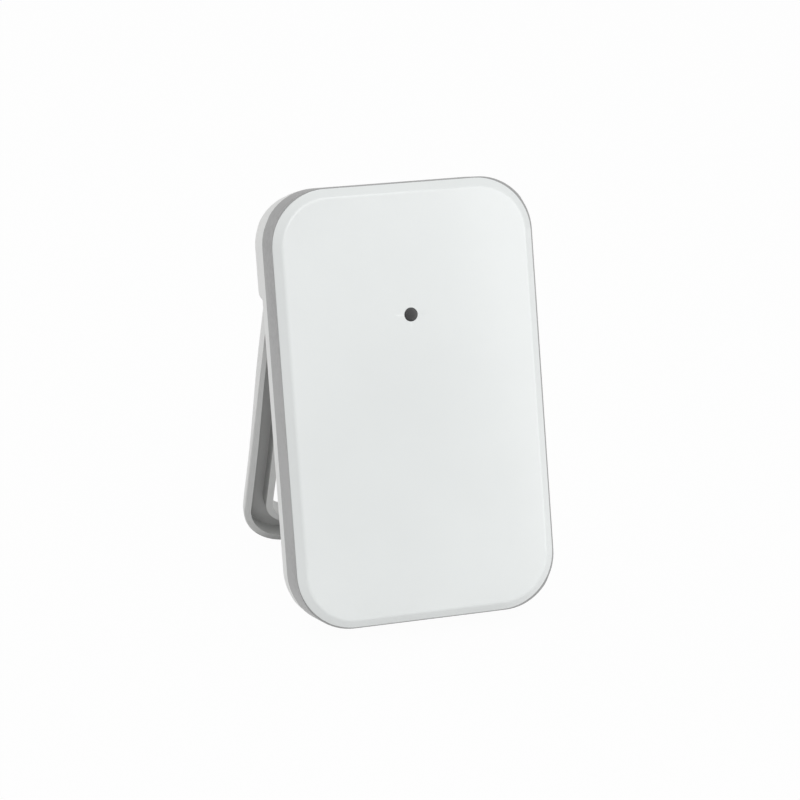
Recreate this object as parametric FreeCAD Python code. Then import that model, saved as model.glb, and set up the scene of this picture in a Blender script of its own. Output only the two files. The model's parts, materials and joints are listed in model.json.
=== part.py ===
import FreeCAD, Part
import math
import os

# Radio-controlled thermometer: a table and wall sensor with a fold-out stand.
# Every piece is modelled upright, in millimetres: X to the right seen from the
# front, Y from the front to the back, Z up, with zero in the middle of the grey
# frame's front rim. At the end the whole sensor is leant back on its open stand
# and set down with zero on the table, in the middle of what it covers.

os.makedirs("parts", exist_ok=True)

# Outline of the body
body_width = 62.0
body_height = 100.0
body_corner = 12.8

# Front panel with its bevelled rim, and the tape that holds it
panel_thickness = 2.0
panel_inset = 0.25
panel_edge = 0.3
panel_bevel = 1.9
panel_crest_radius = 2.0
tape_thickness = 0.2
tape_inset = 3.4
tape_clearance = 0.2

# Grey front frame: a tray with a deck behind the panel
frame_depth = 9.1
frame_wall = 2.0
deck_thickness = 1.5

# White rear shell: thin body, with a raised housing across its upper part
shell_wall = 1.8
shell_inset = 0.3
shell_edge_radius = 1.2
lip_height = 1.5
lip_thickness = 1.0
lip_clearance = 0.15
lip_root = 1.5
bulge_inset = 0.9
bulge_corner = 2.6
bulge_edge_radius = 1.2
bulge_clearance = 0.5

# Fold-out stand: a U-shaped loop of channel section on two stub pins
stand_thickness = 5.2
stand_gap = 0.3
stand_leg = 6.2
stand_wall = 1.3
stand_web = 1.6
stand_edge_radius = 2.0
stand_inner_radius = 1.0
stand_angle = 37.5
stand_solid_top = 7.5
heel_radius = 4.0
heel_clearance = 0.05
pivot_share = 0.4
pin_radius = 1.5
pin_clearance = 0.06
lug_width = 3.3
lug_radius = 2.5
lug_clearance = 0.3

# Two AAA cells side by side, and the bay that holds them
cell_radius = 5.25
cell_length = 44.5
cell_nub_radius = 1.9
cell_nub_height = 0.9
cell_rim = 0.5
cell_gap = 0.6
cell_clearance = 0.3
spring_room = 3.3
contact_thickness = 0.4
contact_dimple = 0.6
dimple_radius = 1.7
dimple_tip = 1.1
contact_half_depth = 3.6
contact_margin = 0.8
tab_offset = 1.95
tab_half_width = 1.0
tab_lap = 2.2
spring_wire = 0.35
spring_turns = 2
spring_wide = 3.2
spring_narrow = 2.2
coil_steps = 2
wire_sides = 6
bay_wall = 2.2
bay_floor = 1.0
bay_front = 0.6
bay_drop = 13.5
bay_window_clearance = 0.5

# Battery door
door_thickness = 1.6
door_lap = 1.2
door_gap = 0.25
door_seat = 0.05
door_corner = 2.0
door_hook_width = 4.0
door_hook_offset = 8.6
door_hook_reach = 1.3
door_hook_thickness = 1.1
door_hook_drop = 0.3
door_hook_swing = 2.6
door_hook_clearance = 0.4
latch_width = 9.0
latch_reach = 0.5
latch_slit = 0.8
latch_length = 9.0
latch_inset = 0.4
latch_overlap = 0.6
latch_bevel = 0.4
latch_root_height = 2.0
grip_count = 3
grip_drop = 3.0
grip_margin = 1.0
grip_pitch = 1.6
grip_width = 0.7
grip_height = 0.3

# Circuit board
board_side_margin = 11.5
board_margin = 3.5
board_thickness = 1.0
board_corner = 1.5
board_lift = 2.7
board_gap = 0.4

# Small controls on the board, reached with the door open
control_room = 7.0
control_floor = 1.2
control_offset = 7.5
switch_size = (8.6, 3.5, 4.4)
switch_travel = 2.0
knob_size = 1.3
knob_foot = (2.6, 0.8, 2.4)
switch_cover = 0.8
button_size = (6.0, 3.6, 6.0)
button_radius = 1.7
button_travel = 0.4
button_clearance = 0.05
button_room = 0.1
button_bevel = 0.3
control_clearance = 0.3
control_tip_gap = 0.5
control_proud = 1.0

# Signal light
light_share = 0.402
light_radius = 1.55
light_flange = 2.15
light_flange_depth = 0.7
light_clearance = 0.03
pipe_radius = 1.5
pipe_flange = 2.3
pipe_flange_depth = 0.6
pipe_gap = 0.1
led_size = (3.2, 0.9, 1.6)
led_base = 0.55
led_dome = 0.7

# Parts on the board
chip_size = (7.6, 1.5, 5.3)
chip_lift = 0.1
chip_legs = 8
chip_leg_pitch = 0.8
chip_leg = (0.35, 0.4, 1.2)
chip_offset = -2.0
chip_share = 0.47
radio_size = (14.0, 0.8, 9.0)
radio_lift = 1.2
radio_offset = 2.0
radio_margin = 7.5
shield_size = (8.0, 2.0, 6.5)
shield_rise = 0.8
shield_bevel = 0.4
header_pin = 0.6
header_pitch = 2.0
header_count = 5
header_tip = 0.4
crystal_radius = 1.0
crystal_length = 6.0
crystal_lead = 0.25
crystal_lead_length = 1.6
crystal_lead_spread = 0.5
crystal_side = 6.0
crystal_share = 0.46
capacitor_radius = 3.0
capacitor_foot = 6.3
capacitor_height = 7.0
capacitor_base = 0.8
capacitor_bevel = 0.5
capacitor_side = 6.5
capacitor_margin = 9.5
antenna_radius = 2.4
antenna_wire = 0.3
antenna_turns = 4
antenna_length = 11.0
antenna_stand_off = 0.6
antenna_side = 5.0
antenna_share = 0.36
sensor_bead = 1.2
sensor_lead = 0.25
sensor_spread = 1.3
sensor_offset = -8.4
sensor_rise = 6.5
sensor_reach = 9.0
sensor_drop = 2.0

# Screws
shell_screw_radius = 1.2
shell_screw_head = 2.3
screw_head_taper = 0.5
shell_screw_head_depth = 1.6
shell_screw_length = 7.0
boss_radius = 3.25
boss_split = 1.0
boss_floor = 2.4
upper_screw_margins = (7.5, 11.0)
lower_screw_margins = (11.0, 12.0)
board_screw_radius = 0.8
board_screw_head = 1.9
board_screw_head_depth = 1.3
board_screw_length = 3.4
board_boss_radius = 2.2
board_screw_margins = (3.5, 3.3, 8.5)
screw_hole_clearance = 0.1
pilot_clearance = 0.05
head_clearance = 0.4

# Wall hook keyhole and the vents for the sensing bead
keyhole_entry = 4.0
keyhole_slot = 2.0
keyhole_lift = 8.5
keyhole_rise = 8.0
pocket_margin = 1.5
pocket_wall = 1.0
pocket_depth = 3.5
vent_count = 9
vent_pitch = 2.6
vent_width = 1.2
vent_height = 3.0

# Depths and heights that follow from the sizes above
half_width = body_width / 2
half_height = body_height / 2
pivot_height = pivot_share * half_height
light_height = light_share * half_height
deck_front = tape_thickness
deck_rear = deck_front + deck_thickness
bay_floor_level = bay_front + bay_floor
shell_back = bay_floor_level + 2 * (cell_radius + cell_clearance) + door_thickness
shell_inner = shell_back - shell_wall
bulge_back = shell_back + stand_gap + stand_thickness
bulge_inner = bulge_back - shell_wall
pivot_depth = shell_back + stand_gap + stand_thickness / 2
bulge_bottom = pivot_height + heel_radius + bulge_clearance
stand_half_width = half_width - bulge_inset
keyhole_height = bulge_bottom + keyhole_lift
bay_top = bulge_bottom - bay_drop
bay_half_width = 2 * cell_radius + cell_gap / 2 + cell_clearance
bay_length = cell_length + spring_room + contact_dimple + 2 * contact_thickness
bay_bottom = bay_top - bay_length
door_back = shell_back
door_front = door_back - door_thickness
rim_level = door_front - door_seat
door_half_width = bay_half_width + door_lap
door_bottom = bay_bottom - door_lap
control_bottom = bay_top + bay_wall
control_top = control_bottom + control_room
control_middle = (control_bottom + control_top) / 2
door_top = control_top + door_lap
cell_depth = bay_floor_level + cell_clearance + cell_radius
cell_side = cell_radius + cell_gap / 2
board_front = deck_rear + board_lift
board_rear = board_front + board_thickness
board_bottom = control_bottom + board_gap
board_half_width = half_width - board_side_margin
board_top = half_height - board_margin
board_height = board_top - board_bottom
chip_place = (chip_offset, board_bottom + chip_share * board_height)
radio_place = (radio_offset, board_top - radio_margin)
crystal_place = (crystal_side - board_half_width, board_bottom + crystal_share * board_height)
capacitor_place = (capacitor_side - board_half_width, board_top - capacitor_margin)
antenna_place = (board_half_width - antenna_side, board_bottom + antenna_share * board_height)
sensor_place = (sensor_offset, bulge_bottom + sensor_rise)
upper_screw_place = (half_width - upper_screw_margins[0], half_height - upper_screw_margins[1])
lower_screw_place = (half_width - lower_screw_margins[0], lower_screw_margins[1] - half_height)
board_screw_side = board_half_width - board_screw_margins[0]
board_screw_places = (
    (board_screw_side, board_top - board_screw_margins[1]),
    (board_screw_side, board_bottom + board_screw_margins[2]),
)
control_tip = rim_level - control_tip_gap
control_floor_rear = control_tip - control_proud
boss_face = frame_depth - boss_split
screw_seat = boss_face + boss_floor


def vec(x, y, z):
    return FreeCAD.Vector(x, y, z)


ACROSS = vec(1, 0, 0)
BACK = vec(0, 1, 0)
UP = vec(0, 0, 1)
NEAR = 1e-5
PAST = 1.0
HALF_ROUND = 0.499


def rounded_wire(corners, radii, depth):
    """Closed outline at one depth, with each corner rounded by its own radius."""
    points = [vec(x, depth, z) for x, z in corners]
    edges = []
    ends = []
    for i, corner in enumerate(points):
        into = (corner - points[i - 1]).normalize()
        out = (points[(i + 1) % len(points)] - corner).normalize()
        turn = into.getAngle(out)
        reach = radii[i] * math.tan(turn / 2)
        start = corner - into * reach
        end = corner + out * reach
        if radii[i] > 0:
            rise = radii[i] * (1 / math.cos(turn / 2) - 1)
            middle = corner + (out - into).normalize() * rise
            edges.append(Part.Arc(start, middle, end).toShape())
        ends.append((start, end))
    for i in range(len(points)):
        edges.append(Part.LineSegment(ends[i - 1][1], ends[i][0]).toShape())
    return Part.Wire(Part.__sortEdges__(edges))


def plate(half, bottom, top, front, back, low_radius=0.0, high_radius=0.0, centre=0.0):
    """Upright plate from one depth to another, with its low and high corners rounded."""
    corners = (
        (centre - half, bottom),
        (centre + half, bottom),
        (centre + half, top),
        (centre - half, top),
    )
    radii = (low_radius, low_radius, high_radius, high_radius)
    return Part.Face(rounded_wire(corners, radii, front)).extrude(BACK * (back - front))


def body_wire(inset, depth):
    """The body's outline, drawn in by an inset."""
    right = half_width - inset
    high = half_height - inset
    corners = ((-right, -high), (right, -high), (right, high), (-right, high))
    return rounded_wire(corners, (body_corner - inset,) * 4, depth)


def body_plate(inset, front, back):
    """Plate with the body's outline, drawn in by an inset."""
    return Part.Face(body_wire(inset, front)).extrude(BACK * (back - front))


def block(left, right, front, back, low, high):
    return Part.makeBox(right - left, back - front, high - low, vec(left, front, low))


def disc(x, z, radius, front, back):
    """Round post or hole that runs from front to back."""
    return Part.makeCylinder(radius, back - front, vec(x, front, z), BACK)


def bar(radius, left, right, y, z):
    """Round bar that runs across."""
    return Part.makeCylinder(radius, right - left, vec(left, y, z), ACROSS)


def joined(first, others):
    return first.fuse(list(others)).removeSplitter()


def rim_edges(shape, depth, keep=lambda middle: True):
    """Edges that lie flat at one depth, where keep allows their middle point."""
    found = []
    for edge in shape.Edges:
        flat = all(abs(corner.Y - depth) < NEAR for corner in edge.Vertexes)
        middle = edge.valueAt((edge.FirstParameter + edge.LastParameter) / 2)
        if flat and abs(middle.y - depth) < NEAR and keep(middle):
            found.append(edge)
    return found


def both_sides(shape):
    """The shape and its mirror image across the middle of the body."""
    return [shape, shape.mirror(vec(0, 0, 0), ACROSS)]


def bevelled_post(base, direction, radius, length, bevel):
    """Round post with a bevel at its far end."""
    post = Part.makeCylinder(radius, length - bevel, base, direction)
    far = base + direction * (length - bevel)
    return post.fuse(Part.makeCone(radius, radius - bevel, bevel, far, direction))


def screw(x, z, seat, radius, length, head, head_depth):
    """Pan-head screw that is driven in from the back."""
    shank = disc(x, z, radius, seat - length, seat)
    top = head - screw_head_taper
    return joined(shank, [Part.makeCone(head, top, head_depth, vec(x, seat, z), BACK)])


def arc_middle(start, control, end):
    """Middle of the arc from start to end whose end tangents meet at the control point."""
    weight = (end - start).Length / 2 / (control - start).Length
    return (start + control * (2 * weight) + end) * (0.5 / (1 + weight))


def wire_section(place, heading, radius):
    """Many-sided face across a wire, turned to look along the heading."""
    side = heading.cross(UP).normalize()
    corners = []
    for i in range(wire_sides):
        angle = 2 * math.pi * i / wire_sides
        out = side * math.cos(angle) + side.cross(heading) * math.sin(angle)
        corners.append(place + out * radius)
    return Part.Face(Part.makePolygon(corners + corners[:1]))


def bent_wire(section, arcs):
    """Wire along joined arcs: the section is turned about the middle of each arc."""
    pieces = []
    for start, control, end in arcs:
        path = Part.Arc(start, arc_middle(start, control, end), end).toShape()
        turn = math.degrees(path.LastParameter - path.FirstParameter)
        pieces.append(section.revolve(path.Curve.Center, path.Curve.Axis, turn))
        section = section.copy()
        section.rotate(path.Curve.Center, path.Curve.Axis, turn)
    return pieces[0].fuse(pieces[1:])


def biarc(start, leave, end, arrive):
    """Two arcs that meet smoothly, as (start, control, end) each."""
    span = end - start
    a = 2 * (leave.dot(arrive) - 1)
    b = -2 * span.dot(leave + arrive)
    reach = (-b - math.sqrt(b * b - 4 * a * span.dot(span))) / (2 * a)
    first = start + leave * reach
    second = end - arrive * reach
    joint = (first + second) * 0.5
    return [(start, first, joint), (joint, second, end)]


def coil(x, y, low, height, turns, low_radius, high_radius, wire_radius):
    """Round wire wound upwards, with a radius that changes evenly from end to end."""
    steps = int(round(turns * coil_steps))
    turned = 2 * math.pi / coil_steps
    widening = (high_radius - low_radius) / (steps * turned)
    points = []
    for i in range(steps + 1):
        angle = i * turned
        radius = low_radius + widening * angle
        place = vec(x + radius * math.cos(angle), y + radius * math.sin(angle), low + height * i / steps)
        heading = vec(
            widening * math.cos(angle) - radius * math.sin(angle),
            widening * math.sin(angle) + radius * math.cos(angle),
            height / (steps * turned),
        )
        points.append((place, heading.normalize()))
    arcs = []
    for (start, leave), (end, arrive) in zip(points, points[1:]):
        arcs += biarc(start, leave, end, arrive)
    return bent_wire(wire_section(*points[0], wire_radius), arcs)


def front_panel():
    """White glossy panel with a bevelled rim and a stepped hole for the light window."""
    base = body_plate(panel_inset, -panel_edge, 0)
    low = body_wire(panel_inset, -panel_edge)
    high = body_wire(panel_inset + panel_bevel, -panel_thickness)
    crown = Part.makeLoft([low, high], True, True)
    panel = joined(base, [crown])
    panel = panel.makeFillet(panel_crest_radius, rim_edges(panel, -panel_thickness))
    bore = disc(0, light_height, light_radius + light_clearance, -panel_thickness - PAST, PAST)
    step = disc(0, light_height, light_flange + light_clearance, -light_flange_depth, PAST)
    return panel.cut(bore).cut(step)


def panel_tape():
    """Adhesive sheet between the panel and the frame's deck."""
    tape = body_plate(tape_inset, 0, tape_thickness)
    tape = tape.cut(bay_window(-PAST, tape_thickness + PAST))
    return tape.cut(disc(0, light_height, pipe_flange, -PAST, tape_thickness + PAST))


def light_window():
    """Dark lens set flush in the panel, with a flange behind it."""
    lens = disc(0, light_height, light_radius, -panel_thickness, 0)
    flange = disc(0, light_height, light_flange, light_clearance - light_flange_depth, 0)
    return joined(lens, [flange])


def light_pipe():
    """Clear rod that carries the light from the board to the window."""
    led_front = board_front - led_size[1]
    rod = disc(0, light_height, pipe_radius, pipe_gap, led_front - pipe_gap)
    flange = disc(0, light_height, pipe_flange, deck_rear, deck_rear + pipe_flange_depth)
    return joined(rod, [flange])


def bay_window(front, back):
    """Room for the battery bay in the deck."""
    half = bay_half_width + bay_wall + bay_window_clearance
    low = bay_bottom - bay_wall - bay_window_clearance
    high = bay_top + bay_wall + bay_window_clearance
    return plate(half, low, high, front, back, bay_wall, bay_wall)


def screw_places():
    """The four shell screws, as (x, z)."""
    places = []
    for x, z in (upper_screw_place, lower_screw_place):
        places += [(-x, z), (x, z)]
    return places


def board_places():
    """The four board screws, as (x, z)."""
    places = []
    for x, z in board_screw_places:
        places += [(-x, z), (x, z)]
    return places


def front_frame():
    """Grey tray: side wall, deck, screw pillars and board posts."""
    tray = body_plate(0, 0, frame_depth)
    tray = tray.cut(body_plate(frame_wall, deck_rear, frame_depth + PAST))
    tray = tray.cut(body_plate(tape_inset - tape_clearance, -PAST, deck_front))
    tray = tray.cut(bay_window(-PAST, deck_rear + PAST))
    posts = []
    for x, z in screw_places():
        posts.append(disc(x, z, boss_radius, deck_front + NEAR, boss_face))
    for x, z in board_places():
        posts.append(disc(x, z, board_boss_radius, deck_front + NEAR, board_front))
    tray = joined(tray, posts)
    pilots = []
    for x, z in screw_places():
        depth = screw_seat - shell_screw_length - pilot_clearance
        pilots.append(disc(x, z, shell_screw_radius + pilot_clearance, depth, frame_depth))
    for x, z in board_places():
        depth = board_rear - board_screw_length - pilot_clearance
        pilots.append(disc(x, z, board_screw_radius + pilot_clearance, depth, frame_depth))
    pilots.append(disc(0, light_height, pipe_radius + light_clearance, -PAST, frame_depth))
    return tray.cut(pilots)


def bulge_plate(inset, front, back, low_radius):
    """Plate with the outline of the raised housing, drawn in by an inset."""
    half = stand_half_width - inset
    high = half_height - bulge_inset - inset
    radius = body_corner - bulge_inset - inset
    return plate(half, bulge_bottom + inset, high, front, back, low_radius, radius)


def shell_skin():
    """The rear shell's outer wall, with its raised housing, hollowed from the front."""
    thin = body_plate(shell_inset, frame_depth, shell_back)
    thin = thin.makeFillet(shell_edge_radius, rim_edges(thin, shell_back))
    bulge = bulge_plate(0, shell_inner, bulge_back, bulge_corner)
    bulge = bulge.makeFillet(bulge_edge_radius, rim_edges(bulge, bulge_back))
    skin = joined(thin, [bulge])
    skin = skin.cut(body_plate(shell_inset + shell_wall, frame_depth - PAST, shell_inner))
    room = bulge_plate(shell_wall, frame_depth, bulge_inner, bulge_corner - shell_wall)
    return skin.cut(room)


def shell_lip():
    """Low wall that locates the shell inside the frame."""
    outer = frame_wall + lip_clearance
    inner = outer + lip_thickness
    front = frame_depth - lip_height
    lip = body_plate(outer, front, frame_depth)
    root = body_plate(shell_inset + shell_wall / 2, frame_depth, frame_depth + lip_root)
    return joined(lip, [root]).cut(body_plate(inner, front - PAST, frame_depth + lip_root + PAST))


def shell_bosses():
    """Four screw bosses that stand on the frame's pillars."""
    bosses = []
    for x, z in screw_places():
        back = bulge_inner if z > bulge_bottom else shell_inner
        bosses.append(disc(x, z, boss_radius, boss_face, back + shell_wall / 2))
    return bosses


def shell_screw_holes():
    """Clearance holes and head pockets of the shell screws."""
    holes = []
    for x, z in screw_places():
        back = bulge_back + PAST
        hole = shell_screw_radius + screw_hole_clearance
        holes.append(disc(x, z, hole, boss_face - PAST, back))
        holes.append(disc(x, z, shell_screw_head + head_clearance, screw_seat, back))
    return holes


def hinge_lug():
    """Ear on the shell's back that holds the stand's right pin."""
    outer = stand_half_width - stand_leg - lug_clearance
    inner = outer - lug_width
    nose = bar(lug_radius, inner, outer, pivot_depth, pivot_height)
    low = pivot_height - lug_radius
    high = pivot_height + lug_radius
    stem = block(inner, outer, shell_inner + shell_wall / 2, pivot_depth, low, high)
    hole = bar(pin_radius + pin_clearance, inner - PAST, outer + PAST, pivot_depth, pivot_height)
    return joined(nose, [stem]).cut(hole)


def bay_tub():
    """Outside of the battery bay, with the shallow recess for the controls above it."""
    half = bay_half_width + bay_wall
    back = shell_inner + shell_wall / 2
    bay = plate(half, bay_bottom - bay_wall, bay_top + bay_wall, bay_front, back, bay_wall, bay_wall)
    floor = control_floor_rear - control_floor
    recess = block(-half, half, floor, back, bay_top, control_top + bay_wall)
    return joined(bay, [recess])


def bay_hollow():
    """What is cut out of the tub: the bay, the recess, the door's seat and small slots."""
    half = bay_half_width
    outside = door_back + PAST
    cuts = [block(-half, half, bay_floor_level, outside, bay_bottom, bay_top)]
    cuts.append(block(-half, half, control_floor_rear, outside, control_bottom, control_top))
    low = door_bottom - door_gap
    high = door_top + door_gap
    corner = door_corner + door_gap
    seat_half = door_half_width + door_gap
    cuts.append(plate(seat_half, low, high, rim_level, outside, corner, corner))
    for side in (-tab_offset, tab_offset):
        cuts.append(tab_slit(side))
    cuts += hook_slots()
    nose_half = latch_width / 2 + door_hook_clearance
    nose_front = shell_inner - door_hook_thickness - 2 * door_hook_clearance
    cuts.append(block(-nose_half, nose_half, nose_front, rim_level + NEAR, control_top - PAST,
                      door_top + latch_reach + door_hook_clearance))
    cuts += control_holes()
    return cuts


def tab_slit(side):
    """Slit through the bay's top wall for a contact's solder tab."""
    half = tab_half_width + door_seat
    front = board_rear - door_seat
    back = board_rear + contact_thickness + door_seat
    return block(side - half, side + half, front, back, bay_top - PAST, control_bottom + PAST)


def hook_slots():
    """Slots in the bay's bottom wall that the door's two hooks turn in."""
    slots = []
    front = shell_inner - door_hook_drop - door_hook_thickness - door_hook_swing
    for side in (-door_hook_offset, door_hook_offset):
        left = side - door_hook_width / 2 - door_hook_clearance
        right = side + door_hook_width / 2 + door_hook_clearance
        low = bay_bottom - bay_wall - PAST
        mouth = door_bottom - door_gap
        slots.append(block(left, right, front, shell_inner, low, bay_bottom + PAST))
        slots.append(block(left, right, front, rim_level + PAST, mouth, bay_bottom + PAST))
    return slots


def control_holes():
    """Slot for the switch knob and hole for the button, in the recess's floor."""
    front = control_floor_rear - control_floor - PAST
    back = control_floor_rear + PAST
    half_long = switch_travel + knob_size / 2 + control_clearance
    half_high = knob_size / 2 + control_clearance
    slot = block(
        -control_offset - half_long,
        -control_offset + half_long,
        front,
        back,
        control_middle - half_high,
        control_middle + half_high,
    )
    hole = disc(control_offset, control_middle, button_radius + control_clearance, front, back)
    return [slot, hole]


def keyhole_pocket():
    """Closed pocket inside the shell, behind the keyhole."""
    half = keyhole_entry + pocket_margin + pocket_wall
    low = keyhole_height - half
    high = keyhole_height + keyhole_rise + keyhole_slot + pocket_margin + pocket_wall
    front = bulge_inner - pocket_depth - pocket_wall
    return block(-half, half, front, bulge_inner + shell_wall / 2, low, high)


def keyhole_hollow():
    """Room inside the pocket, and the keyhole through the back wall."""
    half = keyhole_entry + pocket_margin
    low = keyhole_height - half
    high = keyhole_height + keyhole_rise + keyhole_slot + pocket_margin
    room = block(-half, half, bulge_inner - pocket_depth, bulge_inner, low, high)
    back = bulge_back + PAST
    entry = disc(0, keyhole_height, keyhole_entry, bulge_inner - PAST, back)
    top = keyhole_height + keyhole_rise
    slot = plate(keyhole_slot, keyhole_height, top + keyhole_slot, bulge_inner - PAST, back,
                 0, 2 * keyhole_slot * HALF_ROUND)
    return [room, entry, slot]


def vent_slits():
    """Row of slits in the raised housing's lower wall."""
    slits = []
    middle = (shell_back + bulge_inner) / 2
    for i in range(vent_count):
        x = (i - (vent_count - 1) / 2) * vent_pitch
        slits.append(
            block(
                x - vent_width / 2,
                x + vent_width / 2,
                middle - vent_height / 2,
                middle + vent_height / 2,
                bulge_bottom - PAST,
                bulge_bottom + shell_wall + PAST,
            )
        )
    return slits


def rear_shell():
    """White moulded back with its battery bay, lugs, bosses, keyhole and vents."""
    added = [shell_lip(), bay_tub(), keyhole_pocket()]
    added += shell_bosses()
    added += both_sides(hinge_lug())
    shell = joined(shell_skin(), added)
    return shell.cut(bay_hollow() + shell_screw_holes() + keyhole_hollow() + vent_slits())


def door_hook(side):
    """Hook at the door's bottom edge that turns behind the shell's wall."""
    half = door_hook_width / 2
    back = shell_inner - door_hook_drop
    front = back - door_hook_thickness
    low = door_bottom - door_hook_reach
    high = bay_bottom - door_seat
    foot = block(side - half, side + half, front, back, low, high)
    root = block(side - half, side + half, front, door_front + NEAR, door_bottom, high)
    return joined(foot, [root])


def door_latch():
    """Nose at the door's top edge that catches behind the shell's wall."""
    half = latch_width / 2
    back = shell_inner - door_seat
    front = back - door_hook_thickness
    high = door_top - latch_inset
    root = block(-half, half, front, door_front + NEAR, high - latch_root_height + latch_inset, high)
    nose = block(-half, half, front, back, door_top - latch_overlap, door_top + latch_reach)
    nose = nose.makeChamfer(latch_bevel, [edge for edge in nose.Edges if latch_tip(edge, back)])
    return joined(root, [nose])


def latch_tip(edge, back):
    """True for the long edge at the latch nose's upper rear corner."""
    tip = door_top + latch_reach
    return all(abs(v.Z - tip) < NEAR and abs(v.Y - back) < NEAR for v in edge.Vertexes)


def door_grip():
    """Low ridges for the fingertip on the latch tongue."""
    ridges = []
    for i in range(grip_count):
        z = door_top - grip_drop - i * grip_pitch
        half = latch_width / 2 - grip_margin
        ridges.append(block(-half, half, door_back - NEAR, door_back + grip_height,
                            z - grip_width / 2, z + grip_width / 2))
    return ridges


def battery_door():
    """Flush cover with two hooks below and a spring tongue above."""
    cover = plate(door_half_width, door_bottom, door_top, door_front, door_back, door_corner, door_corner)
    pieces = [door_hook(-door_hook_offset), door_hook(door_hook_offset), door_latch()]
    cover = joined(cover, pieces + door_grip())
    outer = latch_width / 2 + latch_slit
    low = door_top - latch_length
    for side in (-1, 1):
        middle = side * (outer - latch_slit / 2)
        slit = plate(
            latch_slit / 2,
            low,
            door_top + PAST,
            door_front - 2 * door_hook_thickness,
            door_back + PAST,
            latch_slit * HALF_ROUND,
            0,
            middle,
        )
        cover = cover.cut(slit)
    return cover


def stand_loop(inset, front, back, top):
    """Plate with the stand's outer outline, drawn in by an inset."""
    low = bulge_inset - half_height + inset
    radius = body_corner - bulge_inset - inset
    return plate(stand_half_width - inset, low, top, front, back, radius, 0)


def stand_folded():
    """The stand as it lies folded against the back."""
    front = shell_back + stand_gap
    back = front + stand_thickness
    top = pivot_height + heel_radius
    loop = stand_loop(0, front, back, top)
    loop = loop.makeFillet(stand_edge_radius, rim_edges(loop, back, lambda m: m.z < top - NEAR))
    loop = loop.cut(stand_loop(stand_leg, front - PAST, back + PAST, top + PAST))
    inner_half = stand_half_width - stand_leg
    low = bulge_inset - half_height + stand_leg
    inside = rim_edges(
        loop, back, lambda m: abs(m.x) < inner_half + NEAR and low - NEAR < m.z < top - NEAR
    )
    loop = loop.makeFillet(stand_inner_radius, inside)
    channel_top = pivot_height - stand_solid_top
    channel = stand_loop(stand_wall, front - PAST, back - stand_web, channel_top)
    core = stand_loop(stand_leg - stand_wall, front - 2 * PAST, back, channel_top + PAST)
    loop = loop.cut(channel.cut(core))
    return loop.cut(heel_waste(front, back, top)).fuse(stand_pins()).removeSplitter()


def heel_waste(front, back, top):
    """What is taken off the arms' tops: outside the turning circle, and the stop's bevel."""
    half = stand_half_width + PAST
    cap = block(-half, half, front - PAST, back + PAST, pivot_height, top + PAST)
    cap = cap.cut(bar(heel_radius, -half - PAST, half + PAST, pivot_depth, pivot_height))
    wall = block(-half, half, shell_back - body_width, shell_back + heel_clearance,
                 pivot_height - body_height, pivot_height + body_height)
    pivot = vec(0, pivot_depth, pivot_height)
    wall.rotate(pivot, ACROSS, -stand_angle)
    below = block(-half - PAST, half + PAST, shell_back - body_height, back + body_height,
                  -2 * body_height, pivot_height - stand_solid_top)
    return [cap, wall.cut(below)]


def stand_pins():
    """Stub pins that point inwards from the arms."""
    face = stand_half_width - stand_leg
    length = lug_clearance + lug_width
    right = bar(pin_radius, face - length, face + stand_wall, pivot_depth, pivot_height)
    return both_sides(right)


def contact_sheet(left, right, low):
    """Sheet-metal contact across the cells' ends."""
    front = cell_depth - contact_half_depth
    back = cell_depth + contact_half_depth
    return block(left, right, front, back, low, low + contact_thickness)


def contact_bump(side, foot, direction):
    """Pressed dimple that meets a cell's nub."""
    place = vec(side, cell_depth, foot)
    return Part.makeCone(dimple_radius, dimple_tip, contact_dimple, place, UP * direction)


def board_tab(side):
    """Solder tab from a top contact, through the bay's wall, onto the board."""
    low = bay_top - contact_thickness
    high = board_bottom + tab_lap
    left = side - tab_half_width
    right = side + tab_half_width
    return block(left, right, board_rear, board_rear + contact_thickness, low, high)


def positive_contact():
    """Top contact of the right cell, with a dimple for its nub."""
    low = bay_top - contact_thickness
    outer = bay_half_width - contact_margin
    sheet = contact_sheet(tab_offset - tab_half_width, outer, low)
    return joined(sheet, [contact_bump(cell_side, low, -1), board_tab(tab_offset)])


def negative_contact():
    """Top contact of the left cell, which carries a spring."""
    low = bay_top - contact_thickness
    outer = bay_half_width - contact_margin
    sheet = contact_sheet(-outer, tab_half_width - tab_offset, low)
    return joined(sheet, [board_tab(-tab_offset)])


def bridge_contact():
    """Bottom contact that joins the two cells."""
    outer = bay_half_width - contact_margin
    sheet = contact_sheet(-outer, outer, bay_bottom)
    return joined(sheet, [contact_bump(-cell_side, bay_bottom + contact_thickness, 1)])


def cell_spring(side, low, low_radius, high_radius):
    """Conical spring between a contact and a cell's flat end."""
    height = spring_room - 2 * spring_wire
    return coil(side, cell_depth, low + spring_wire, height, spring_turns,
                low_radius, high_radius, spring_wire)


def upper_spring():
    low = bay_top - contact_thickness - spring_room
    return cell_spring(-cell_side, low, spring_narrow, spring_wide)


def lower_spring():
    return cell_spring(cell_side, bay_bottom + contact_thickness, spring_wide, spring_narrow)


def battery_cell(foot, direction):
    """AAA cell that stands on its flat end: can, shoulder and nub."""
    can_length = cell_length - cell_nub_height
    can = bevelled_post(foot, direction, cell_radius, can_length, cell_rim)
    nub_foot = foot + direction * can_length
    nub = Part.makeCylinder(cell_nub_radius, cell_nub_height, nub_foot, direction)
    return joined(can, [nub])


def right_cell():
    """Cell with its nub up, which stands on the lower spring."""
    low = bay_bottom + contact_thickness + spring_room
    return battery_cell(vec(cell_side, cell_depth, low), UP)


def left_cell():
    """Cell with its nub down, under the upper spring."""
    high = bay_top - contact_thickness - spring_room
    return battery_cell(vec(-cell_side, cell_depth, high), -UP)


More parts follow.
